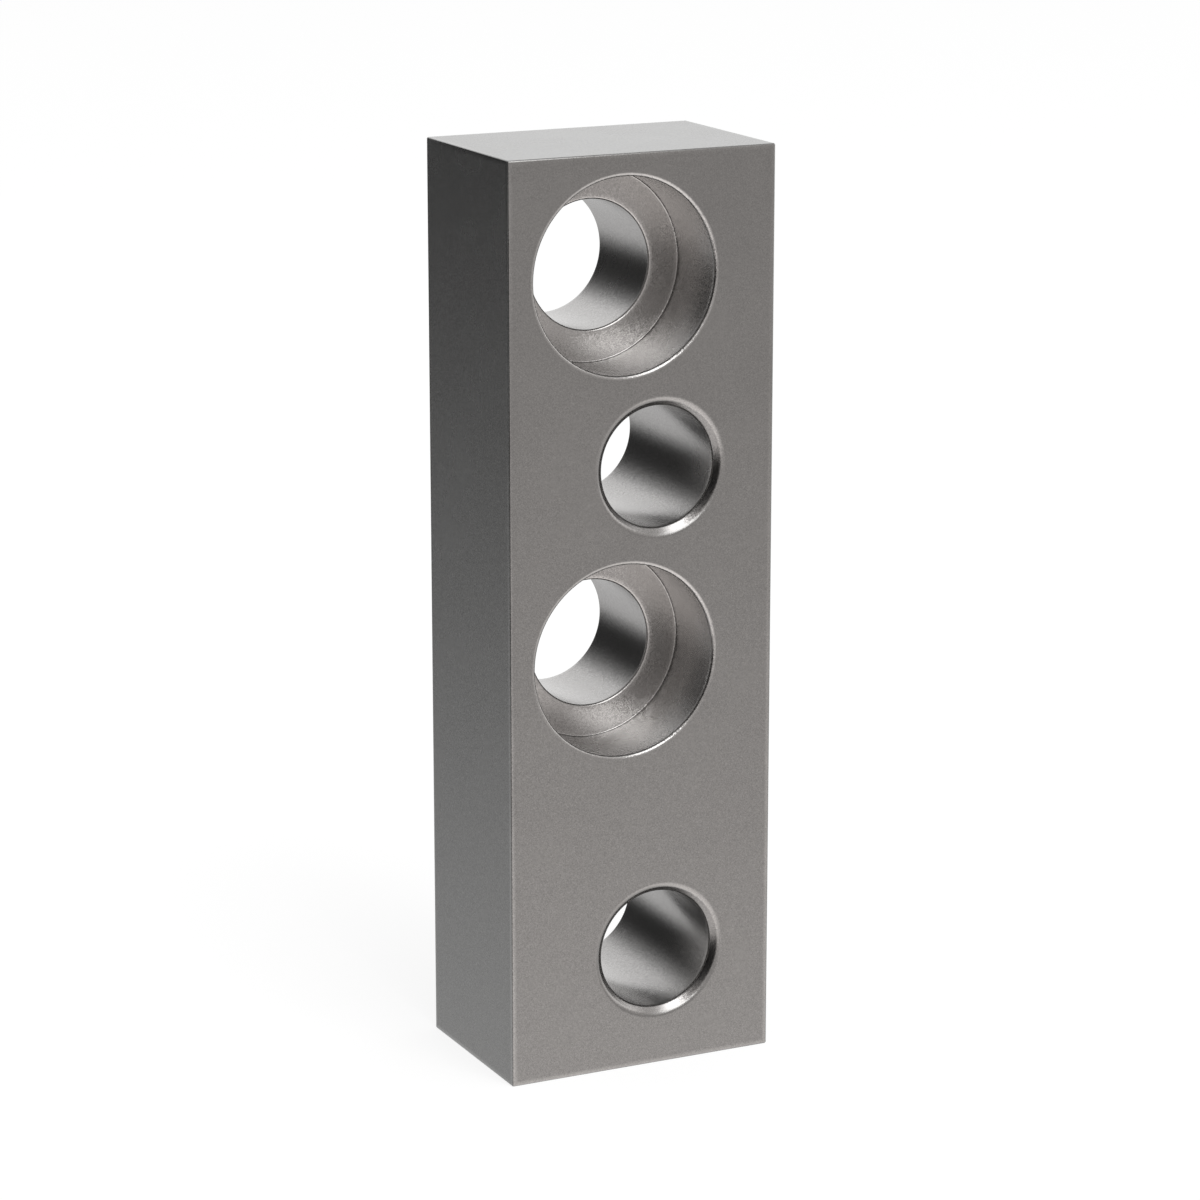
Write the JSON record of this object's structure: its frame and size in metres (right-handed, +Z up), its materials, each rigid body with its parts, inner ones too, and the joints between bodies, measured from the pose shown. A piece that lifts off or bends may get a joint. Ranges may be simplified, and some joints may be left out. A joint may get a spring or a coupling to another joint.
{
  "type": "spacer block",
  "caption": "Rectangular steel spacer block with counterbored screw holes and chamfered plain pin holes in two offset rows.",
  "frame": {"origin": "middle of the lower 30 x 20 mm end, on the surface that the block stands on", "axes": "+Z up along the 97 mm length, +X to the right across the drilled front face, +Y from the front face to the back, along the holes"},
  "size_m": [0.03, 0.02, 0.097],
  "materials": {
    "steel": "satin steel with a fine even grain"
  },
  "bodies": {
    "root": {"spacer_block": "steel"}
  },
  "joints": []
}
